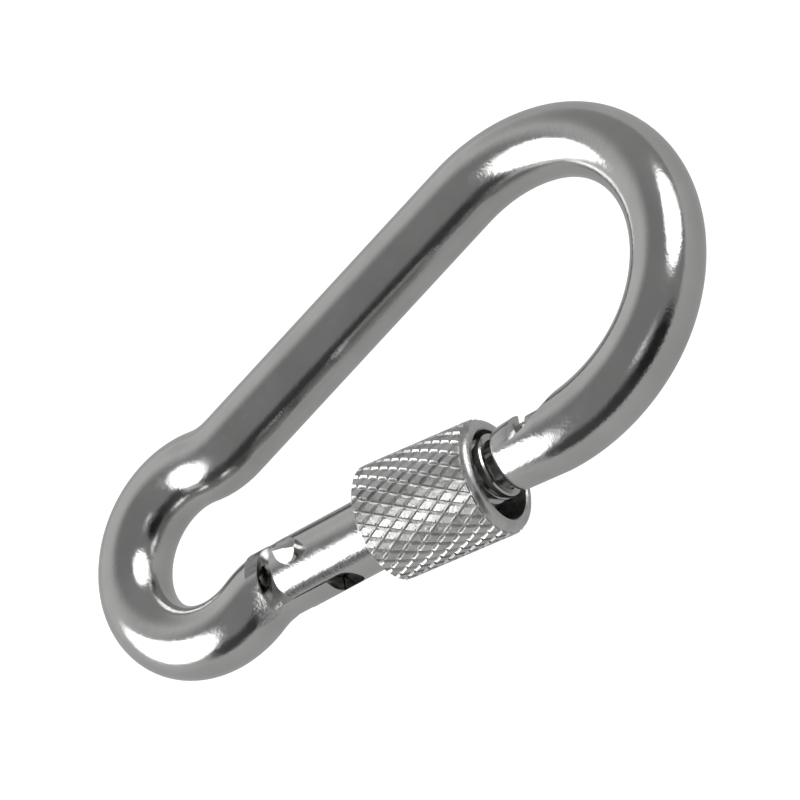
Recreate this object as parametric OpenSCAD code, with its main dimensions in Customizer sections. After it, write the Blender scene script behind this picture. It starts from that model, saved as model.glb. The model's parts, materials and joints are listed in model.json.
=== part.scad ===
// Spring hook with a screw nut, the kind used as a carabiner for keys.
// The hook lies flat: its bent bar is in the XY plane and +X runs from the small eye to the bow.

/* [Bent bar] */
// Diameter of the round bar
bar_d = 5.8; // [5:0.1:7]
// Overall length of the hook, outside to outside
hook_len = 60.8; // [58:0.1:75]
// Radius of the small eye, to the middle of the bar
eye_r = 7.3; // [6.8:0.1:9]
// Radius of the bow at its tip, to the middle of the bar
bow_r = 11.8; // [10:0.1:14]
// Half of the angle that the tip of the bow covers
bow_half_angle = 64.5; // [55:0.5:70]
// Radius of the longer curves where the bow runs into the sides
side_curve_r = 14.2; // [13.5:0.1:16]
// Distance of each straight side from the centre of the eye
side_offset = 5.55; // [5:0.05:6]
// Radius of the reverse bend where the eye narrows into the sides
neck_bend_r = 6.1; // [5:0.1:8]

/* [Tongue and hinge] */
// Where the round bar ends and the flat tongue starts, along the gate
shoulder_x = 6.3; // [6:0.1:7]
// Slant of that shoulder
shoulder_slant = 7.5; // [0:0.5:10]
// Thickness of the tongue
tongue_t = 2.3; // [1.8:0.1:2.6]
// Where the tongue ends, along the gate
tongue_end_x = 11.3; // [11:0.1:12]
// Where the hinge rivet sits, along the gate
pivot_x = 9.6; // [9.2:0.1:10]
// How far the rivet sits inside the middle of the gate
pivot_in = 0.3; // [0:0.1:0.6]
// Diameter of the hinge rivet
rivet_d = 2.1; // [1.6:0.1:2.4]
// How far each end of the rivet stands out of the gate
rivet_proud = 0.75; // [0:0.05:1]
// Gap round the rivet in the tongue
rivet_gap = 0.05; // [0.02:0.01:0.1]

/* [Gate] */
// Hinge end of the gate
gate_start_x = 7.55; // [7.4:0.05:7.8]
// Rounding of the hinge end, seen from above
gate_corner_r = 1.3; // [0.5:0.1:1.5]
// How far the thread lies below the gate's surface
thread_step = 0.3; // [0.2:0.05:0.4]
// Bore for the spring
spring_bore_d = 3.8; // [3.4:0.1:4.4]
// How deep the spring's bore goes
spring_bore_depth = 14; // [13:0.5:15]
// Gap on each side of the tongue in the gate's slot
tongue_gap = 0.1; // [0.05:0.01:0.2]
// How far the slot runs past the rivet on the outer side
slot_outer_reach = 4.2; // [3.8:0.1:4.6]
// How far the slot runs past the rivet on the inner side
slot_inner_reach = 2.8; // [2.6:0.1:3]

/* [Catch at the nose] */
// Gap between the gate and the nose of the bar
nose_gap = 0.9; // [0.6:0.1:1.5]
// Length of the straight nose, up to where the bar starts to bend
nose_len = 4.6; // [4.4:0.1:6]
// How far the nose's end lies below the bar's surface
nose_step = 0.3; // [0.2:0.05:0.4]
// Length over which the nose grows to the full bar
nose_taper_len = 4.2; // [3:0.1:4.3]
// Length of the nose's tip, in front of the notch
tip_len = 1.9; // [1.6:0.1:2.4]
// Radius of the notch's long curved floor
notch_r = 7; // [6:0.1:8]
// Where the middle of that curve sits past the nose's end
notch_mid_x = 0.9; // [0.5:0.1:1.2]
// How far the notch cuts past the middle of the bar
notch_past = 0.25; // [0:0.05:0.5]
// How far the gate's finger sits inside the middle of the gate
finger_in = 1.75; // [1.6:0.05:1.9]
// Diameter of the finger's neck
finger_neck_d = 1.2; // [1:0.1:1.4]
// Diameter of the finger's head
finger_head_d = 1.8; // [1.6:0.1:2]
// Length of the finger's head
finger_head_len = 1.8; // [1.4:0.1:2.2]
// Gap between the head and the tip, which the head swings through
finger_back_gap = 0.5; // [0.4:0.05:0.6]
// Gap round the finger's neck in the tip
finger_gap = 0.15; // [0.1:0.05:0.25]
// Diameter of the recess in the end of the gate
socket_d = 4.1; // [3.6:0.1:4.3]
// Depth of that recess
socket_depth = 1.2; // [0.8:0.1:1.6]

/* [Spring and plunger] */
// Diameter of the spring's wire
spring_wire_d = 0.5; // [0.4:0.05:0.6]
// Number of turns
spring_turns = 6; // [5:1:8]
// Gap between the plunger and the bore
plunger_gap = 0.1; // [0.05:0.01:0.15]
// Length of the plunger's head
plunger_head_len = 1.8; // [1.4:0.1:2.2]
// Length of the plunger's stem, inside the spring
plunger_stem_len = 1.6; // [1:0.1:2.5]
// Gap between the tongue and the plunger
plunger_rest_gap = 0.05; // [0.02:0.01:0.1]

/* [Screw nut] */
// Length of the nut
nut_len = 10.8; // [9:0.1:12.5]
// Play of the leaning nut before the end of the thread
nut_play = 0.4; // [0.35:0.05:0.6]
// How far the nut's mouth sits back from the end of the gate
nut_setback = 0.65; // [0:0.05:1]
// Wall of the nut at its mouth, over the knurl
nut_wall = 1.05; // [0.9:0.05:1.6]
// Length of its threaded part, at the hinge end
nut_thread_len = 2.8; // [2:0.1:3.5]
// Gap round the gate's thread
nut_thread_gap = 0.3; // [0.2:0.01:0.35]
// Gap round the full bar in the open part, which passes over the nose
nut_mouth_gap = 0.75; // [0.7:0.05:1]
// Width of the smooth bevel at the mouth
nut_bevel = 0.55; // [0.3:0.05:0.8]
// Where the loose nut leans about, from its hinge end
lean_at = 3; // [1:0.1:3.2]
// Lean of the loose nut away from the loop
lean_out = 2.4; // [0:0.1:2.5]
// Lean of the loose nut towards the table
lean_down = 4.3; // [0:0.1:4.5]

/* [Hidden] */
bar_r = bar_d / 2;
bow_x = hook_len - bow_r - eye_r - bar_d;
side_curve_centre = [bow_x + (bow_r - side_curve_r) * cos(bow_half_angle),
                     (bow_r - side_curve_r) * sin(bow_half_angle)];
// the straight sides touch the longer curves, which sets their angle to the long axis
side_angle = asin((side_curve_r - side_offset) / norm(side_curve_centre))
           - atan2(-side_curve_centre[1], side_curve_centre[0]);
neck_end_x = sqrt(pow(eye_r + neck_bend_r, 2) - pow(side_offset + neck_bend_r, 2));
neck_turn = atan2(side_offset + neck_bend_r, neck_end_x);
eye_stop_angle = side_angle + neck_turn;
side_end_x = side_curve_centre[0] * cos(side_angle) + side_curve_centre[1] * sin(side_angle);

nose_x = side_end_x - nose_len;
nose_d = bar_d - 2 * nose_step;
gate_end_x = nose_x - nose_gap;
gate_len = gate_end_x - gate_start_x;
thread_d = bar_d - 2 * thread_step;
thread_len = nut_len + nut_play + nut_setback;
thread_start_x = gate_end_x - thread_len;
slot_w = tongue_t + 2 * tongue_gap;
spring_seat_x = gate_start_x + spring_bore_depth;
plunger_x = tongue_end_x + plunger_rest_gap;
plunger_r = spring_bore_d / 2 - plunger_gap;
spring_start_x = plunger_x + plunger_head_len + spring_wire_d / 2;
spring_mean_r = plunger_r - spring_wire_d / 2 - 0.05;
finger_head_x = nose_x + tip_len + finger_back_gap;
nut_x = thread_start_x + nut_play;
nut_mouth_d = bar_d + 2 * nut_mouth_gap;
nut_d = nut_mouth_d + 2 * nut_wall;
nut_lean_x = nut_x + lean_at;
long = 4 * bar_d;
lap_len = 0.1;
hair = 0.01;
eps = 0.01;

$fn = 64;

// the gate's own frame: +X along the gate from the foot of the eye's perpendicular, +Y into the loop
module on_gate(x = 0) {
    rotate(-side_angle) translate([x, -side_offset, 0]) children();
}

module along_x(x = 0) {
    translate([x, 0, 0]) rotate([0, 90, 0]) children();
}

// a bent length of bar: part of a ring about the origin of its caller
module bend(radius, start, turn) {
    rotate(start) rotate_extrude(angle = turn, $fn = 96) translate([radius, 0]) circle(bar_r);
}

// a bend between two other lengths: a hair thinner, so that its ends lie inside them
module joining_bend(radius, start, turn) {
    lap = asin(lap_len / radius);
    rotate(start - lap) rotate_extrude(angle = turn + 2 * lap, $fn = 96)
        translate([radius, 0]) circle(bar_r - hair);
}

// one side of the hook up to where its straight part starts, mirrored for the other
module side_bends() {
    translate(side_curve_centre)
        joining_bend(side_curve_r, bow_half_angle, 90 + side_angle - bow_half_angle);
    rotate(side_angle) translate([neck_end_x, side_offset + neck_bend_r, 0])
        joining_bend(neck_bend_r, neck_turn - 180, 90 - neck_turn);
}

module loop_bar() {
    bend(eye_r, eye_stop_angle, 360 - 2 * eye_stop_angle);
    translate([bow_x, 0, 0]) bend(bow_r, -bow_half_angle, 2 * bow_half_angle);
    side_bends();
    mirror([0, 1, 0]) side_bends();
    rotate(side_angle) translate([0, side_offset, 0])
        along_x(neck_end_x) cylinder(r = bar_r, h = side_end_x - neck_end_x);
}

module nose() {
    on_gate() {
        along_x(nose_x + nose_taper_len)
            cylinder(r = bar_r, h = side_end_x - nose_x - nose_taper_len);
        along_x(nose_x) cylinder(d1 = nose_d, d2 = bar_d, h = nose_taper_len);
    }
}

// notch across the loop side of the nose, for the head of the gate's finger
module nose_notch() {
    on_gate(nose_x + notch_mid_x) translate([0, notch_r - notch_past, 0]) intersection() {
        cylinder(r = notch_r, h = long, center = true, $fn = 128);
        translate([tip_len - notch_mid_x, -long, -long]) cube(2 * long);
    }
}

// slot in the tip, open to the loop, for the neck of the finger
module tip_slot() {
    slot_d = finger_neck_d + 2 * finger_gap;
    on_gate(nose_x - 1) {
        translate([0, finger_in, 0]) along_x() cylinder(d = slot_d, h = tip_len + 2);
        translate([0, finger_in, -slot_d / 2]) cube([tip_len + 2, bar_r, slot_d]);
    }
}

// everything beyond the shoulder is milled away, above and below the tongue
module tongue_cuts() {
    on_gate(shoulder_x) rotate(-shoulder_slant)
        for (side = [0, 1]) mirror([0, 0, side])
            translate([0, -bar_d, tongue_t / 2]) cube([long / 2, 2 * bar_d, bar_d]);
}

module tongue_bar() {
    on_gate() along_x(neck_end_x) cylinder(r = bar_r, h = tongue_end_x - neck_end_x);
}

module pivot_hole() {
    on_gate(pivot_x) translate([0, pivot_in, 0])
        cylinder(d = rivet_d + 2 * rivet_gap, h = long, center = true);
}

module hook_body() {
    color("silver") difference() {
        union() {
            loop_bar();
            tongue_bar();
            nose();
        }
        tongue_cuts();
        pivot_hole();
        nose_notch();
        tip_slot();
    }
}

// outline of the gate seen from above, with its hinge end rounded
module gate_plan() {
    translate([gate_start_x + gate_corner_r, -bar_d]) square([gate_len, 2 * bar_d]);
    translate([gate_start_x, gate_corner_r - bar_r])
        square([gate_len, bar_d - 2 * gate_corner_r]);
    for (y = [-1, 1])
        translate([gate_start_x + gate_corner_r, y * (bar_r - gate_corner_r)])
            circle(gate_corner_r);
}

module gate_bar() {
    along_x(gate_start_x) cylinder(r = bar_r, h = gate_len - thread_len);
    along_x(thread_start_x - eps) cylinder(d = thread_d, h = thread_len + eps);
}

module tongue_slot() {
    translate([gate_start_x - 1, -bar_d, -slot_w / 2])
        cube([pivot_x + slot_outer_reach - slot_w / 2 - gate_start_x + 1, bar_d, slot_w]);
    translate([pivot_x + slot_outer_reach - slot_w / 2, 0, 0]) rotate([90, 0, 0])
        cylinder(d = slot_w, h = bar_d);
    translate([gate_start_x - 1, 0, -slot_w / 2])
        cube([pivot_x + slot_inner_reach - gate_start_x + 1, bar_d, slot_w]);
}

// finger on the end of the gate, whose head lies in the notch behind the tip of the nose
module finger() {
    translate([0, finger_in, 0]) {
        along_x(gate_end_x - socket_depth - eps)
            cylinder(d = finger_neck_d, h = finger_head_x - gate_end_x + socket_depth + 2 * eps);
        along_x(finger_head_x) cylinder(d = finger_head_d, h = finger_head_len);
    }
}

module gate_tube() {
    color("gainsboro") on_gate() {
        difference() {
            intersection() {
                gate_bar();
                linear_extrude(long, center = true) gate_plan();
            }
            along_x(gate_start_x - 1) cylinder(d = spring_bore_d, h = spring_bore_depth + 1);
            along_x(gate_end_x - socket_depth) cylinder(d = socket_d, h = long);
            tongue_slot();
            translate([pivot_x, pivot_in, 0]) cylinder(d = rivet_d, h = long, center = true);
        }
        finger();
    }
}

module hinge_rivet() {
    color("lightgray") on_gate(pivot_x) translate([0, pivot_in, 0])
        cylinder(d = rivet_d, h = bar_d + 2 * rivet_proud, center = true);
}

// points of one ring of the spring's wire, after so many degrees of winding
function coil_ring(turn, pitch, sides = 6) = [
    for (i = [0 : sides - 1])
        let (a = 360 * i / sides, out = spring_mean_r + spring_wire_d / 2 * cos(a))
            [pitch * turn / 360 + spring_wire_d / 2 * sin(a), out * cos(turn), out * sin(turn)]
];

module coil(len, turns, sides = 6, steps = 16) {
    rings = turns * steps;
    points = [for (k = [0 : rings]) each coil_ring(360 * k / steps, len / turns)];
    walls = [
        for (k = [0 : rings - 1], i = [0 : sides - 1])
            let (a = k * sides + i, b = k * sides + (i + 1) % sides)
                [a, a + sides, b + sides, b]
    ];
    first = [for (i = [0 : sides - 1]) i];
    last = [for (i = [0 : sides - 1]) rings * sides + sides - 1 - i];
    polyhedron(points, concat(walls, [first, last]));
}

module gate_spring() {
    color("dimgray") on_gate(spring_start_x)
        coil(spring_seat_x - spring_start_x - spring_wire_d / 2, spring_turns);
}

module spring_plunger() {
    color("gray") on_gate() {
        along_x(plunger_x) cylinder(r = plunger_r, h = plunger_head_len);
        along_x(plunger_x) cylinder(
            r = spring_mean_r - spring_wire_d / 2 - 0.1,
            h = plunger_head_len + plunger_stem_len);
    }
}

module lock_nut() {
    color("whitesmoke") on_gate(nut_lean_x) rotate([0, lean_down, -lean_out])
        along_x(-lean_at) difference() {
            union() {
                cylinder(d = nut_d, h = nut_len - nut_bevel);
                translate([0, 0, nut_len - nut_bevel])
                    cylinder(d1 = nut_d, d2 = nut_d - 2 * nut_bevel, h = nut_bevel);
            }
            translate([0, 0, -1]) cylinder(d = thread_d + 2 * nut_thread_gap, h = nut_len);
            translate([0, 0, nut_thread_len]) cylinder(d = nut_mouth_d, h = nut_len);
        }
}

hook_body();
gate_tube();
hinge_rivet();
gate_spring();
spring_plunger();
lock_nut();
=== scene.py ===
import json
import math

import bmesh
import bpy
from mathutils import Euler, Matrix, Vector


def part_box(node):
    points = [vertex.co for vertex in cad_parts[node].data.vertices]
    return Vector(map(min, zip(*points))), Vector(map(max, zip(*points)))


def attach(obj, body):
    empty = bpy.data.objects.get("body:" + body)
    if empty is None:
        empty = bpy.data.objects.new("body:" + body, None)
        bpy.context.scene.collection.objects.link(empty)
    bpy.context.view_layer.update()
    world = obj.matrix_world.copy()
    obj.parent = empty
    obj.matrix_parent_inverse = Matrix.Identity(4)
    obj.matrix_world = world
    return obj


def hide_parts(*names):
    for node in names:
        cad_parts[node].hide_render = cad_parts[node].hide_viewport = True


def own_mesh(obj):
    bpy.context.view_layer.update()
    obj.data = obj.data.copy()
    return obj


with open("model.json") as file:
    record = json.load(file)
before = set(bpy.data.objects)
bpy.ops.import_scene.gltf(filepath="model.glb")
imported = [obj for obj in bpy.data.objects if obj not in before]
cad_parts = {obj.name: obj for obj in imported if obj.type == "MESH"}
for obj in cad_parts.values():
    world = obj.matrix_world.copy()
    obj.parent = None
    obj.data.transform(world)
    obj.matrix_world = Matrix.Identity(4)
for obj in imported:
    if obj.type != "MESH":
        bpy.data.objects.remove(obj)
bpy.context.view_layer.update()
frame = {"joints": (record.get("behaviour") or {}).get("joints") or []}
scene = bpy.context.scene

# ------------------------------------------------------------------ sizes, in metres
MM = 0.001
joints = {joint["name"]: joint for joint in frame["joints"]}
hook_lo, hook_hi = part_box("hook_body")
_, rivet_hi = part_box("hinge_rivet")
up = Vector((0, 0, 1))
along_gate = Vector(joints["nut_travel"]["axis"]).normalized()
into_loop = up.cross(along_gate)
pivot = Vector(joints["gate_hinge"]["pos_m"])
side_angle = math.atan2(-along_gate.y, along_gate.x)

bar_r = hook_hi.z
eye_r = -hook_lo.x - bar_r
bow_r = 11.8 * MM
bow_x = hook_hi.x - bow_r - bar_r
bow_half_angle = math.radians(64.5)
side_curve_r = 14.2 * MM
side_offset = 5.55 * MM
neck_bend_r = 6.1 * MM

shoulder_x = 6.3 * MM
shoulder_slant = math.radians(7.5)
tongue_t = 2.3 * MM
tongue_end_x = 11.3 * MM
rivet_r = 1.05 * MM
gate_start_x = 7.55 * MM
gate_corner_r = 1.3 * MM
spring_bore_r = 1.9 * MM
spring_bore_depth = 14 * MM
slot_w = 2.5 * MM
slot_outer_reach = 4.2 * MM
slot_inner_reach = 2.8 * MM

nose_len = 4.6 * MM
nose_taper_len = 4.2 * MM
nose_gap = 0.9 * MM
tip_len = 1.9 * MM
notch_r = 7.0 * MM
notch_mid_x = 0.9 * MM
notch_past = 0.25 * MM
finger_in = 1.75 * MM
finger_neck_r = 0.6 * MM
finger_head_r = 0.9 * MM
finger_head_len = 1.8 * MM
finger_back_gap = 0.5 * MM
finger_gap = 0.15 * MM
socket_r = 2.05 * MM
socket_depth = 1.2 * MM

nut_len = 10.8 * MM
nut_play = 0.4 * MM
nut_setback = 0.65 * MM
nut_thread_len = 2.8 * MM
nut_thread_r = 2.9 * MM
nut_mouth_r = 3.65 * MM
nut_r = 4.7 * MM
lean_at = 3 * MM
lean_out = math.radians(2.4)
lean_down = math.radians(4.3)
thread_pitch = 0.8 * MM
thread_crest_r = 2.6 * MM
thread_root_r = 2.2 * MM

spring_wire_r = 0.25 * MM
spring_turns = 6
plunger_x = 11.35 * MM
plunger_r = 1.8 * MM
plunger_head_len = 1.8 * MM
plunger_stem_len = 1.6 * MM

side_curve_centre = Vector((bow_x + (bow_r - side_curve_r) * math.cos(bow_half_angle),
                            (bow_r - side_curve_r) * math.sin(bow_half_angle), 0))
neck_end_x = math.sqrt((eye_r + neck_bend_r) ** 2 - (side_offset + neck_bend_r) ** 2)
neck_turn = math.atan2(side_offset + neck_bend_r, neck_end_x)
eye_stop = side_angle + neck_turn
side_end_x = side_curve_centre.x * math.cos(side_angle) + side_curve_centre.y * math.sin(side_angle)
nose_x = side_end_x - nose_len
gate_end_x = nose_x - nose_gap
thread_start_x = gate_end_x - nut_len - nut_play - nut_setback
nut_x = thread_start_x + nut_play
finger_head_x = nose_x + tip_len + finger_back_gap
spring_seat_x = gate_start_x + spring_bore_depth


def on_gate(x, y=0.0, z=0.0):
    """A point given along the gate, into the loop and up."""
    return along_gate * x + into_loop * (y - side_offset) + up * z


pivot_x = (pivot - on_gate(0)).dot(along_gate)

# ------------------------------------------------------------------ bench tools
def clear_bench():
    """Puts the last piece down, with nothing selected."""
    if bpy.context.mode != "OBJECT":
        bpy.ops.object.mode_set(mode="OBJECT")
    bpy.ops.object.select_all(action="DESELECT")


def ring(name, at, facing, radius, sides=64):
    """Starts a piece as one ring of vertices, all selected, in edit mode."""
    clear_bench()
    bpy.ops.mesh.primitive_circle_add(vertices=sides, radius=radius, location=at,
                                      rotation=facing.to_track_quat("Z", "Y").to_euler())
    return open_piece(name)


def block(name, at, size, turn=0.0):
    """Starts a piece as a block, square to the gate turned further by turn, in edit mode."""
    clear_bench()
    bpy.ops.mesh.primitive_cube_add(size=1, location=at, rotation=(0, 0, turn - side_angle),
                                    scale=size)
    return open_piece(name)


def open_piece(name):
    bpy.ops.object.transform_apply(location=True, rotation=True, scale=True)
    piece = bpy.context.object
    piece.name = piece.data.name = name
    bpy.ops.object.mode_set(mode="EDIT")
    bpy.ops.mesh.select_mode(type="EDGE")
    bpy.ops.mesh.select_all(action="SELECT")
    return piece


def draw(by):
    """Draws what is selected out into new walls."""
    bpy.ops.mesh.extrude_region_move(TRANSFORM_OT_translate={"value": by})


def widen(factor, centre):
    bpy.ops.transform.resize(value=(factor, factor, factor), center_override=centre)


def turn_up(axis_point, direction, stations):
    """Draws the selected ring through stations of (distance, radius) along a straight axis."""
    at, r = stations[0]
    for x, new_r in stations[1:]:
        draw(direction * (x - at))
        if abs(new_r - r) > 1e-9:
            widen(new_r / r, axis_point + direction * x)
        at, r = x, new_r


def bend_round(centre, degrees, steps):
    bpy.ops.mesh.spin(steps=steps, angle=-math.radians(degrees), center=centre, axis=(0, 0, 1))


def close_up():
    """Merges doubles, caps open ends, and turns all faces outwards."""
    bpy.ops.mesh.select_all(action="SELECT")
    bpy.ops.mesh.remove_doubles(threshold=2e-6)
    bpy.ops.mesh.fill_holes(sides=0)
    bpy.ops.mesh.select_all(action="SELECT")
    bpy.ops.mesh.normals_make_consistent(inside=False)
    bpy.ops.object.mode_set(mode="OBJECT")


def pick(piece, kind, test):
    """In edit mode, selects only the faces or edges whose middle passes the test."""
    bpy.ops.mesh.select_mode(type=kind)
    bpy.ops.mesh.select_all(action="DESELECT")
    mesh = bmesh.from_edit_mesh(piece.data)
    if kind == "FACE":
        for face in mesh.faces:
            face.select_set(test(face.calc_center_median(), face.normal))
    else:
        for edge in mesh.edges:
            a, b = (v.co for v in edge.verts)
            edge.select_set(test((a + b) / 2, (b - a).normalized()))
    bmesh.update_edit_mesh(piece.data)


def finish_with(piece, kind, **settings):
    """Adds a modifier and applies it."""
    clear_bench()
    piece.select_set(True)
    bpy.context.view_layer.objects.active = piece
    modifier = piece.modifiers.new(kind.title(), kind)
    for key, value in settings.items():
        setattr(modifier, key, value)
    bpy.ops.object.modifier_apply(modifier=modifier.name)


def cut(piece, *cutters, operation="DIFFERENCE"):
    for cutter in cutters:
        finish_with(piece, "BOOLEAN", operation=operation, object=cutter, solver="MANIFOLD")
        bpy.data.objects.remove(cutter)


def polish(piece, sharper_than=32):
    """Smooth faces with sharp edges left sharp."""
    clear_bench()
    piece.select_set(True)
    bpy.context.view_layer.objects.active = piece
    bpy.ops.object.shade_smooth_by_angle(angle=math.radians(sharper_than))


# ------------------------------------------------------------------ hook body
def make_hook_bar():
    """Bends the round bar from the tongue round the eye, up the spine and round the bow."""
    bar = ring("spring_hook_bar", on_gate(tongue_end_x), along_gate, bar_r)
    for x in (9.0 * MM, shoulder_x + 1.2 * MM, shoulder_x - 1.2 * MM, neck_end_x):
        last = tongue_end_x if x == 9.0 * MM else last
        draw(along_gate * (x - last))
        last = x
    bend_round(on_gate(neck_end_x, -neck_bend_r), 90 - math.degrees(neck_turn), 10)
    bend_round((0, 0, 0), 2 * math.degrees(eye_stop) - 360, 64)
    spine = Vector((along_gate.x, -along_gate.y, 0))
    off_spine = Vector((-spine.y, spine.x, 0))
    bend_round(spine * neck_end_x + off_spine * (side_offset + neck_bend_r),
               90 - math.degrees(neck_turn), 10)
    draw(spine * (side_end_x - neck_end_x))
    side_turn = math.degrees(bow_half_angle - side_angle) - 90
    bend_round(side_curve_centre, side_turn, 20)
    bend_round((bow_x, 0, 0), -2 * math.degrees(bow_half_angle), 56)
    bend_round(side_curve_centre * Vector((1, -1, 1)), side_turn, 20)
    turn_up(on_gate(0), along_gate, [
        (side_end_x, bar_r), (nose_x + nose_taper_len, bar_r), (nose_x + 0.45 * MM, 2.65 * MM),
        (nose_x + 0.15 * MM, 2.6 * MM), (nose_x + 0.04 * MM, 2.55 * MM), (nose_x, 2.44 * MM)])
    close_up()
    return bar


def mill_tongue(bar):
    """Mills both sides of the tongue flat, down to a slanted shoulder, and drills it."""
    cutters = []
    for side in (1, -1):
        reach = 8 * MM
        slanted = Matrix.Rotation(-shoulder_slant - side_angle, 3, "Z")
        middle = on_gate(shoulder_x) + slanted @ Vector((reach / 2, 0, 0))
        middle.z = side * (tongue_t / 2 + bar_r / 2)
        cutters.append(block("mill", middle, (reach, 4 * bar_r, bar_r), turn=-shoulder_slant))
    drill = ring("drill", pivot - up * bar_r, up, rivet_r + 0.05 * MM, sides=32)
    draw(up * 2 * bar_r)
    close_up()
    cut(bar, *cutters, drill)


def mill_nose(bar):
    """Cuts the curved notch across the loop side of the nose, and the slot through its tip."""
    middle = on_gate(nose_x + notch_mid_x, notch_r - notch_past)
    notch = ring("mill", middle - up * 2 * bar_r, up, notch_r, sides=160)
    draw(up * 4 * bar_r)
    close_up()
    half = block("half", middle + along_gate * (tip_len - notch_mid_x + notch_r),
                 (2 * notch_r, 3 * notch_r, 6 * bar_r))
    cut(notch, half, operation="INTERSECT")
    slot_r = finger_neck_r + finger_gap
    slot = ring("mill", on_gate(nose_x - 1 * MM, finger_in), along_gate, slot_r, sides=32)
    draw(along_gate * (tip_len + 2 * MM))
    close_up()
    mouth = block("mill", on_gate(nose_x + tip_len / 2, finger_in + bar_r / 2),
                  (tip_len + 2 * MM, bar_r, 2 * slot_r))
    cut(bar, notch, slot, mouth)


# ------------------------------------------------------------------ gate
def thread_ridge(start, end, crest, root, sides=48):
    """A screw thread's ridge: one wedge of wire wound along the gate's axis, ends closed."""
    clear_bench()
    bpy.ops.mesh.primitive_circle_add(vertices=4, radius=1)
    ridge = open_piece("thread")
    mesh = bmesh.from_edit_mesh(ridge.data)
    mesh.verts.ensure_lookup_table()
    wedge = [(root, 0.34), (crest, 0.06), (crest, -0.06), (root, -0.34)]
    for vert, (r, x) in zip(mesh.verts, wedge):
        vert.co = (r, 0, x * thread_pitch)
    bmesh.update_edit_mesh(ridge.data)
    turns = (end - start) / thread_pitch - 0.68
    finish_with(ridge, "SCREW", axis="Z", angle=2 * math.pi * turns, screw_offset=thread_pitch * turns,
                steps=int(sides * turns), render_steps=int(sides * turns))
    place = on_gate(start + 0.34 * thread_pitch)
    ridge.data.transform(Matrix.Translation(place) @ along_gate.to_track_quat("Z", "Y").to_matrix().to_4x4())
    bpy.ops.object.mode_set(mode="EDIT")
    close_up()
    return ridge


def make_gate():
    """Turns the gate, threads it, slots it over the tongue and sets the catch finger in its end."""
    gate = ring("hinged_gate", on_gate(spring_seat_x), along_gate, spring_bore_r)
    core = thread_root_r + 0.1 * MM
    turn_up(on_gate(0), along_gate, [
        (spring_seat_x, spring_bore_r), (gate_start_x, spring_bore_r), (gate_start_x, bar_r),
        (gate_start_x + 2.0 * MM, bar_r), (thread_start_x - 0.12 * MM, bar_r),
        (thread_start_x, bar_r - 0.12 * MM), (thread_start_x, core), (gate_end_x - 0.5 * MM, core),
        (gate_end_x - 0.5 * MM, thread_crest_r), (gate_end_x - 0.12 * MM, thread_crest_r),
        (gate_end_x, thread_crest_r - 0.12 * MM), (gate_end_x, socket_r + 0.06 * MM),
        (gate_end_x - 0.06 * MM, socket_r), (gate_end_x - socket_depth, socket_r)])
    close_up()
    cut(gate, thread_ridge(thread_start_x - 0.1 * MM, gate_end_x - 0.3 * MM,
                           thread_crest_r, thread_root_r), operation="UNION")

    plan = block("plan", on_gate((gate_start_x + gate_end_x) / 2 + 5 * MM),
                 (gate_end_x - gate_start_x + 10 * MM, 2 * bar_r, 4 * bar_r))
    pick(plan, "EDGE", lambda at, way: abs(way.z) > 0.9 and
         (at - on_gate(0)).dot(along_gate) < gate_start_x + 1 * MM)
    bpy.ops.mesh.bevel(offset=gate_corner_r, segments=10)
    cut(gate, plan, operation="INTERSECT")

    slot_end = pivot_x + slot_outer_reach
    outer = block("slot", on_gate((gate_start_x - 1 * MM + slot_end) / 2, -bar_r, 0),
                  (slot_end - gate_start_x + 1 * MM, 2 * bar_r, slot_w))
    pick(outer, "EDGE", lambda at, way: abs(way.dot(into_loop)) > 0.9 and
         (at - on_gate(0)).dot(along_gate) > slot_end - 1 * MM)
    bpy.ops.mesh.bevel(offset=slot_w / 2 - 0.01 * MM, segments=10)
    slot_end = pivot_x + slot_inner_reach
    inner = block("slot", on_gate((gate_start_x - 1 * MM + slot_end) / 2, bar_r / 2, 0),
                  (slot_end - gate_start_x + 1 * MM, bar_r + 0.5 * MM, slot_w))
    drill = ring("drill", pivot - up * 2 * bar_r, up, rivet_r, sides=48)
    draw(up * 4 * bar_r)
    close_up()
    cut(gate, outer, inner, drill)

    root = gate_end_x - socket_depth - 0.1 * MM
    head_end = finger_head_x + finger_head_len
    finger = ring("finger", on_gate(root, finger_in), along_gate, finger_neck_r, sides=40)
    turn_up(on_gate(0, finger_in), along_gate, [
        (root, finger_neck_r), (finger_head_x, finger_neck_r),
        (finger_head_x, finger_head_r - 0.08 * MM), (finger_head_x + 0.08 * MM, finger_head_r),
        (head_end - 0.5 * MM, finger_head_r), (head_end - 0.2 * MM, finger_head_r - 0.12 * MM),
        (head_end, finger_head_r - 0.45 * MM)])
    close_up()
    cut(gate, finger, operation="UNION")
    return gate


def make_rivet():
    """Rivet with each end dressed to a low roof."""
    # longer than the finished pin, so that the slopes take its flat ends right off
    blank_half = rivet_hi.z + 1 * MM
    rivet = ring("hinge_rivet_pin", pivot - up * blank_half, up, rivet_r, sides=48)
    draw(up * 2 * blank_half)
    close_up()
    bpy.ops.object.mode_set(mode="EDIT")
    ridge_turn = math.radians(-23)
    for side in (1, -1):
        for lean in (1, -1):
            bpy.ops.mesh.select_all(action="SELECT")
            normal = Euler((lean * math.radians(24), 0, 0)).to_matrix() @ up
            normal = Matrix.Rotation(ridge_turn, 3, "Z") @ normal
            normal.z *= side
            bpy.ops.mesh.bisect(plane_co=pivot + up * side * rivet_hi.z, plane_no=normal,
                                use_fill=True, clear_outer=True)
    close_up()
    finish_with(rivet, "BEVEL", width=0.05 * MM, segments=2, limit_method="ANGLE",
                angle_limit=math.radians(20), use_clamp_overlap=True)
    return rivet


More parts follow.
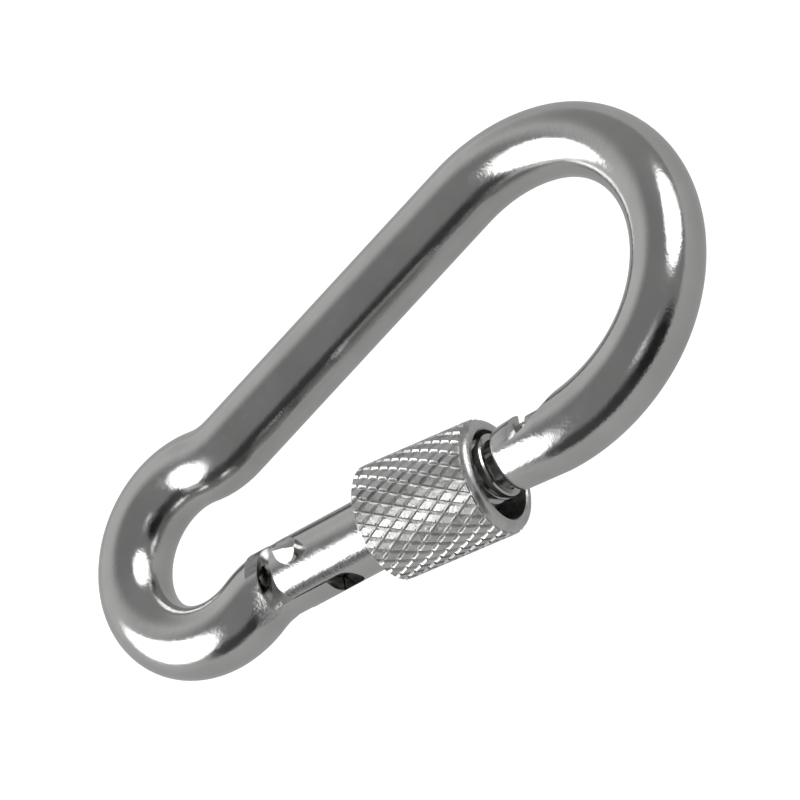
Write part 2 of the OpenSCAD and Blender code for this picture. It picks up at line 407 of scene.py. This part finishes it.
def make_spring():
    """Winds the coil spring between the plunger's head and the end of the bore."""
    clear_bench()
    start = plunger_x + plunger_head_len + spring_wire_r
    length = spring_seat_x - spring_wire_r - start
    mean_r = plunger_r - spring_wire_r - 0.05 * MM
    bpy.ops.mesh.primitive_circle_add(vertices=12, radius=spring_wire_r, location=(mean_r, 0, 0),
                                      rotation=(math.pi / 2, 0, 0))
    spring = open_piece("gate_coil_spring")
    finish_with(spring, "SCREW", axis="Z", angle=2 * math.pi * spring_turns, screw_offset=length,
                steps=32 * spring_turns, render_steps=32 * spring_turns)
    spring.data.transform(Matrix.Translation(on_gate(start))
                          @ along_gate.to_track_quat("Z", "Y").to_matrix().to_4x4())
    bpy.ops.object.mode_set(mode="EDIT")
    close_up()
    return spring


def make_plunger():
    """Turns the small headed pin whose stem sits inside the spring."""
    stem_r = plunger_r - 2 * spring_wire_r - 0.15 * MM
    head_end = plunger_x + plunger_head_len
    plunger = ring("spring_plunger_pin", on_gate(plunger_x), along_gate, plunger_r - 0.3 * MM, sides=48)
    turn_up(on_gate(0), along_gate, [
        (plunger_x, plunger_r - 0.3 * MM), (plunger_x + 0.08 * MM, plunger_r - 0.1 * MM),
        (plunger_x + 0.25 * MM, plunger_r), (head_end - 0.1 * MM, plunger_r),
        (head_end, plunger_r - 0.1 * MM), (head_end, stem_r),
        (head_end + plunger_stem_len - 0.15 * MM, stem_r),
        (head_end + plunger_stem_len, stem_r - 0.15 * MM)])
    close_up()
    return plunger


# ------------------------------------------------------------------ screw nut
knurl_starts = 27
knurl_slope = math.radians(30)
knurl_groove = 0.16 * MM
knurl_depth = 0.25 * MM
knurl_end = nut_len - 0.75 * MM


def make_knurl():
    """A round bar, its skin divided into diamonds, each raised to a broad flat top between narrow grooves."""
    root = nut_r - knurl_depth
    height = 2 * math.pi * nut_r / knurl_starts / math.tan(knurl_slope)
    rows = int(nut_len / height) + 3
    clear_bench()
    bpy.ops.mesh.primitive_cylinder_add(vertices=knurl_starts, radius=root, depth=rows * height,
                                        end_fill_type="NOTHING", location=(0, 0, nut_len / 2))
    knurl = open_piece("knurled_screw_nut")
    for row in range(1, rows):
        bpy.ops.mesh.select_all(action="SELECT")
        bpy.ops.mesh.bisect(plane_co=(0, 0, nut_len / 2 + (row - rows / 2) * height),
                            plane_no=(0, 0, 1))
    bpy.ops.mesh.select_all(action="SELECT")
    bpy.ops.mesh.poke(offset=root * (1 - math.cos(math.pi / knurl_starts)))
    pick(knurl, "EDGE", lambda at, way: (abs(way.z) > 0.99 or abs(way.z) < 0.01) and
         abs(at.z - nut_len / 2) < rows * height / 2 - 0.1 * MM)
    bpy.ops.mesh.dissolve_edges(use_verts=False)
    pick(knurl, "FACE", lambda at, way: True)
    mesh = bmesh.from_edit_mesh(knurl.data)
    for face in mesh.faces:
        face.select_set(len(face.verts) == 4)
    bmesh.update_edit_mesh(knurl.data)
    bpy.ops.mesh.inset(use_individual=True, thickness=knurl_groove, depth=knurl_depth)
    return knurl


def make_nut():
    """Knurls the nut, turns its smooth collar, bores it and sets it leaning on the gate."""
    knurl = make_knurl()
    for end, way in ((0, -1), (knurl_end, 1)):
        bpy.ops.mesh.select_all(action="SELECT")
        bpy.ops.mesh.bisect(plane_co=(0, 0, end), plane_no=(0, 0, way), use_fill=True,
                            clear_outer=True)
    close_up()

    # turned envelope, which chamfers the hinge end of the knurl
    blank = ring("blank", Vector((0, 0, 0)), up, nut_r - 0.35 * MM, sides=96)
    turn_up(Vector(), up, [(0, nut_r - 0.35 * MM), (0.35 * MM, nut_r + 0.02 * MM),
                           (nut_len, nut_r + 0.02 * MM)])
    close_up()
    cut(knurl, blank, operation="INTERSECT")

    collar_r = nut_r - 0.14 * MM
    collar = ring("collar", Vector((0, 0, knurl_end - 0.3 * MM)), up, nut_mouth_r + 0.2 * MM, sides=96)
    turn_up(Vector(), up, [
        (knurl_end - 0.3 * MM, nut_mouth_r + 0.2 * MM), (knurl_end - 0.3 * MM, collar_r - 0.2 * MM),
        (knurl_end, collar_r - 0.2 * MM), (knurl_end + 0.08 * MM, collar_r)]
        + [(nut_len - 0.6 * MM * (1 - math.sin(a)), collar_r - 0.55 * MM * (1 - math.cos(a)))
           for a in (math.radians(k * 10) for k in range(0, 10))]
        + [(nut_len, nut_mouth_r + 0.2 * MM)])
    close_up()
    cut(knurl, collar, operation="UNION")

    bore = ring("drill", Vector((0, 0, -1 * MM)), up, nut_thread_r, sides=96)
    turn_up(Vector(), up, [(-1 * MM, nut_thread_r), (nut_thread_len, nut_thread_r),
                           (nut_thread_len, nut_mouth_r), (nut_len - 0.12 * MM, nut_mouth_r),
                           (nut_len + 0.12 * MM, nut_mouth_r + 0.24 * MM),
                           (nut_len + 1 * MM, nut_mouth_r + 0.24 * MM)])
    close_up()
    cut(knurl, bore)
    place = (Matrix.Translation(on_gate(nut_x + lean_at))
             @ Matrix.Rotation(-side_angle, 4, "Z")
             @ Euler((0, lean_down, -lean_out)).to_matrix().to_4x4()
             @ Matrix.Rotation(math.pi / 2, 4, "Y")
             @ Matrix.Translation((0, 0, -lean_at)))
    knurl.data.transform(place)
    return knurl


# ------------------------------------------------------------------ finishes
def linear(hex_colour):
    """sRGB hex to a linear RGBA colour."""
    parts = [int(hex_colour[i:i + 2], 16) / 255 for i in (1, 3, 5)]
    return [c / 12.92 if c <= 0.04045 else ((c + 0.055) / 1.055) ** 2.4 for c in parts] + [1.0]


def node(tree, kind, inputs=None, **settings):
    """Adds a node with its settings, and its inputs as values or links."""
    made = tree.nodes.new(kind)
    for key, value in settings.items():
        setattr(made, key, value)
    for key, value in (inputs or {}).items():
        if isinstance(value, bpy.types.NodeSocket):
            tree.links.new(value, made.inputs[key])
        else:
            made.inputs[key].default_value = value
    return made


def new_metal(name):
    metal = bpy.data.materials.new(name)
    metal.use_nodes = True
    metal.node_tree.nodes.clear()
    return metal, metal.node_tree


def close_metal(tree, inputs):
    shader = node(tree, "ShaderNodeBsdfPrincipled", dict({"Metallic": 1.0}, **inputs))
    node(tree, "ShaderNodeOutputMaterial", {"Surface": shader.outputs["BSDF"]})


def skin(tree, place, peel, grit, peel_size=0.9, grit_size=0.16):
    """Bump of a tumbled surface: wide low orange peel with fine pits on it."""
    wide = node(tree, "ShaderNodeTexNoise", {"Vector": place, "Scale": 1 / (peel_size * MM),
                                             "Detail": 2.0, "Roughness": 0.5})
    fine = node(tree, "ShaderNodeTexNoise", {"Vector": place, "Scale": 1 / (grit_size * MM),
                                             "Detail": 3.0, "Roughness": 0.6})
    low = node(tree, "ShaderNodeBump", {"Height": wide.outputs["Fac"], "Strength": 1.0,
                                        "Distance": peel * MM})
    return node(tree, "ShaderNodeBump", {"Height": fine.outputs["Fac"], "Strength": 1.0,
                                         "Distance": grit * MM, "Normal": low.outputs["Normal"]})


def uneven(tree, place, size, low, high):
    """A value that drifts between low and high over patches of that size."""
    cloud = node(tree, "ShaderNodeTexNoise", {"Vector": place, "Scale": 1 / (size * MM), "Detail": 3.0})
    drift = node(tree, "ShaderNodeMapRange", {"Value": cloud.outputs["Fac"], "From Min": 0.3,
                                              "From Max": 0.7, "To Min": low, "To Max": high})
    return drift.outputs["Result"]


def tumble_polished_stainless():
    """Stainless bar, tumbled bright: mirror-like, with low orange peel and fine pits that fray
    the edges of every highlight, and one rough patch where the tongue was milled."""
    metal, tree = new_metal("tumble_polished_stainless")
    place = node(tree, "ShaderNodeTexCoord").outputs["Object"]
    tone = uneven(tree, place, 5.0, 0.0, 1.0)
    colour = node(tree, "ShaderNodeMix", {"Factor": tone, 6: linear("#C2C2C1"), 7: linear("#CDCDCC")},
                  data_type="RGBA")
    bump = skin(tree, place, 0.009, 0.011, grit_size=0.2)
    rough_spot = on_gate(shoulder_x - 0.7 * MM, -bar_r * 0.86, 1.2 * MM)
    off = node(tree, "ShaderNodeVectorMath", {0: place, 1: rough_spot},
               operation="DISTANCE")
    patch = node(tree, "ShaderNodeMapRange", {"Value": off.outputs["Value"], "From Min": 0.7 * MM,
                                              "From Max": 1.7 * MM, "To Min": 1.0, "To Max": 0.0})
    pits = node(tree, "ShaderNodeTexNoise", {"Vector": place, "Scale": 1 / (0.35 * MM), "Detail": 4.0,
                                             "Roughness": 0.7})
    deep = node(tree, "ShaderNodeBump", {"Height": pits.outputs["Fac"], "Strength": patch.outputs["Result"],
                                         "Distance": 0.12 * MM, "Normal": bump.outputs["Normal"]})
    close_metal(tree, {"Base Color": colour.outputs[2], "Roughness": uneven(tree, place, 0.5, 0.10, 0.17),
                       "Normal": deep.outputs["Normal"]})
    return metal


def knurled_stainless():
    """The same steel after rolling: slightly duller flats, its tone drifting at random over small patches."""
    metal, tree = new_metal("knurled_stainless")
    place = node(tree, "ShaderNodeTexCoord").outputs["Object"]
    tone = uneven(tree, place, 1.2, 0.0, 1.0)
    colour = node(tree, "ShaderNodeMix", {"Factor": tone, 6: linear("#C4C4C3"), 7: linear("#DADAD9")},
                  data_type="RGBA")
    bump = skin(tree, place, 0.016, 0.016, peel_size=0.5, grit_size=0.2)
    close_metal(tree, {"Base Color": colour.outputs[2], "Roughness": uneven(tree, place, 0.35, 0.24, 0.42),
                       "Normal": bump.outputs["Normal"]})
    return metal


def drawn_spring_wire():
    """Drawn stainless wire: satin grey with faint scuffs across the turns."""
    metal, tree = new_metal("drawn_spring_wire")
    place = node(tree, "ShaderNodeTexCoord").outputs["Object"]
    tone = uneven(tree, place, 0.8, 0.0, 1.0)
    colour = node(tree, "ShaderNodeMix", {"Factor": tone, 6: linear("#8F8D8A"), 7: linear("#A5A29F")},
                  data_type="RGBA")
    bump = skin(tree, place, 0.004, 0.004, peel_size=0.3, grit_size=0.08)
    close_metal(tree, {"Base Color": colour.outputs[2], "Roughness": uneven(tree, place, 0.3, 0.28, 0.42),
                       "Normal": bump.outputs["Normal"]})
    return metal


def turned_steel():
    """Plain turned pin: grey, with the fine rings left by the lathe tool."""
    metal, tree = new_metal("turned_steel")
    place = node(tree, "ShaderNodeTexCoord").outputs["Object"]
    level = node(tree, "ShaderNodeVectorMath", {0: place, 1: along_gate}, operation="DOT_PRODUCT")
    rings = node(tree, "ShaderNodeMath", {0: level.outputs["Value"], 1: 2 * math.pi / (0.12 * MM)},
                 operation="MULTIPLY")
    wave = node(tree, "ShaderNodeMath", {0: rings.outputs["Value"]}, operation="SINE")
    tool = node(tree, "ShaderNodeBump", {"Height": wave.outputs["Value"], "Strength": 0.5,
                                         "Distance": 0.004 * MM})
    tone = uneven(tree, place, 0.9, 0.0, 1.0)
    colour = node(tree, "ShaderNodeMix", {"Factor": tone, 6: linear("#A19F9C"), 7: linear("#B2AFAC")},
                  data_type="RGBA")
    close_metal(tree, {"Base Color": colour.outputs[2], "Roughness": uneven(tree, place, 0.4, 0.25, 0.38),
                       "Normal": tool.outputs["Normal"]})
    return metal


def give(piece, finish, body, slot, *nodes):
    piece.data.materials.clear()
    piece.data.materials.append(finish)
    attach(piece, body)
    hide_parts(*nodes)


# ------------------------------------------------------------------ make it all
steel = tumble_polished_stainless()
bar = make_hook_bar()
mill_tongue(bar)
mill_nose(bar)
finish_with(bar, "BEVEL", width=0.1 * MM, segments=2, limit_method="ANGLE",
            angle_limit=math.radians(30), use_clamp_overlap=True)
polish(bar)
give(bar, steel, "hook", "polished_stainless", "hook_body")

gate = make_gate()
polish(gate)
give(gate, steel, "gate", "polished_stainless", "gate_tube")

rivet = make_rivet()
polish(rivet, 20)
give(rivet, steel, "gate", "polished_stainless", "hinge_rivet")

spring = make_spring()
polish(spring, 50)
give(spring, drawn_spring_wire(), "gate", "spring_steel", "gate_spring")
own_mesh(spring)

plunger = make_plunger()
polish(plunger)
give(plunger, turned_steel(), "plunger", "turned_steel", "spring_plunger")

nut = make_nut()
polish(nut, 20)
give(nut, knurled_stainless(), "nut", "knurled_stainless", "lock_nut")

# ------------------------------------------------------------------ camera, floor and light
camera_data = bpy.data.cameras.new("camera")
camera_data.lens = 473.9
camera_data.sensor_width = 36
camera_data.clip_end = 20
camera = bpy.data.objects.new("camera", camera_data)
scene.collection.objects.link(camera)
backward = Vector((0.3953, -0.5600, 0.7281)).normalized()
right = Vector((0.7211, -0.3019, -0.6236))
right = (right - backward * right.dot(backward)).normalized()
above = backward.cross(right)
camera.matrix_world = Matrix((
    (right.x, above.x, backward.x, 0.33973),
    (right.y, above.y, backward.y, -0.45191),
    (right.z, above.z, backward.z, 0.58766),
    (0, 0, 0, 1)))
scene.camera = camera

clear_bench()
bpy.ops.mesh.primitive_plane_add(size=4, location=(0, 0, -6.0 * MM))
floor = bpy.context.object
floor.name = "floor"
paper = bpy.data.materials.new("white_paper")
paper.use_nodes = True
tree = paper.node_tree
tree.nodes.clear()
# white to the camera, darker in the steel
white_ground = 1.05
floor_in_steel = 0.36
seen = node(tree, "ShaderNodeLightPath").outputs["Is Camera Ray"]
glow = node(tree, "ShaderNodeMapRange", {"Value": seen, "To Min": floor_in_steel, "To Max": white_ground})
sheet = node(tree, "ShaderNodeBsdfPrincipled", {
    "Base Color": linear("#595958"), "Roughness": 0.9, "Emission Color": linear("#FFFFFF"),
    "Emission Strength": glow.outputs["Result"]})
node(tree, "ShaderNodeOutputMaterial", {"Surface": sheet.outputs["BSDF"]})
floor.data.materials.append(paper)


def towards(azimuth, elevation):
    """Direction from the hook, in degrees round from +X and up from the floor."""
    az, el = math.radians(azimuth), math.radians(elevation)
    return Vector((math.cos(el) * math.cos(az), math.cos(el) * math.sin(az), math.sin(el)))


# grey studio walls; each patch is (azimuth, elevation, half width, soft edge, brightness)
walls = [
    (125, 5, 45, 30, 0.62),
    (70, 25, 30, 30, 0.30),
    (-160, -5, 40, 30, 0.55),
    (-116, 14, 17, 12, 0.07),
    (-86, 16, 19, 12, 0.05),
    (-58, 16, 20, 10, 0.02),
    (-66, 48, 4, 6, 1.1),
    (-50, 46, 3, 5, 0.6),
]
tent = bpy.data.worlds.new("studio_walls")
scene.world = tent
tent.use_nodes = True
tree = tent.node_tree
tree.nodes.clear()
way = node(tree, "ShaderNodeTexCoord").outputs["Generated"]
wall_level = 0.25
shade = wall_level
for azimuth, elevation, half, soft, bright in walls:
    facing = node(tree, "ShaderNodeVectorMath", {0: way, 1: towards(azimuth, elevation)},
                  operation="DOT_PRODUCT")
    mask = node(tree, "ShaderNodeMapRange", {
        "Value": facing.outputs["Value"], "From Min": math.cos(math.radians(half + soft / 2)),
        "From Max": math.cos(math.radians(max(half - soft / 2, 0.5)))}, interpolation_type="SMOOTHSTEP")
    shade = node(tree, "ShaderNodeMix", {"Factor": mask.outputs["Result"], 2: shade, 3: bright}).outputs[0]
seen = node(tree, "ShaderNodeLightPath").outputs["Is Camera Ray"]
level = node(tree, "ShaderNodeMix", {"Factor": seen, 2: shade, 3: white_ground}).outputs[0]
backdrop = node(tree, "ShaderNodeBackground", {"Color": linear("#FFFFFF"), "Strength": level})
node(tree, "ShaderNodeOutputWorld", {"Surface": backdrop.outputs["Background"]})


def softbox(name, azimuth, elevation, width, height, brightness, distance=0.9):
    """An oval soft lamp of that angular size, facing the hook."""
    lamp = bpy.data.lights.new(name, "AREA")
    lamp.shape = "ELLIPSE"
    lamp.size = 2 * distance * math.tan(math.radians(width / 2))
    lamp.size_y = 2 * distance * math.tan(math.radians(height / 2))
    lamp.energy = brightness * math.pi * math.pi / 4 * lamp.size * lamp.size_y
    stand = bpy.data.objects.new(name, lamp)
    scene.collection.objects.link(stand)
    middle = Vector((0.02, 0, 0))
    stand.location = middle + towards(azimuth, elevation) * distance
    stand.rotation_euler = towards(azimuth, elevation).to_track_quat("Z", "Y").to_euler()
    stand.visible_camera = False
    return stand


softbox("left_softbox", -170, 33, 62, 50, 3.2)
softbox("right_softbox", 14, 29, 46, 42, 3.0)
scene.view_settings.view_transform = "Standard"
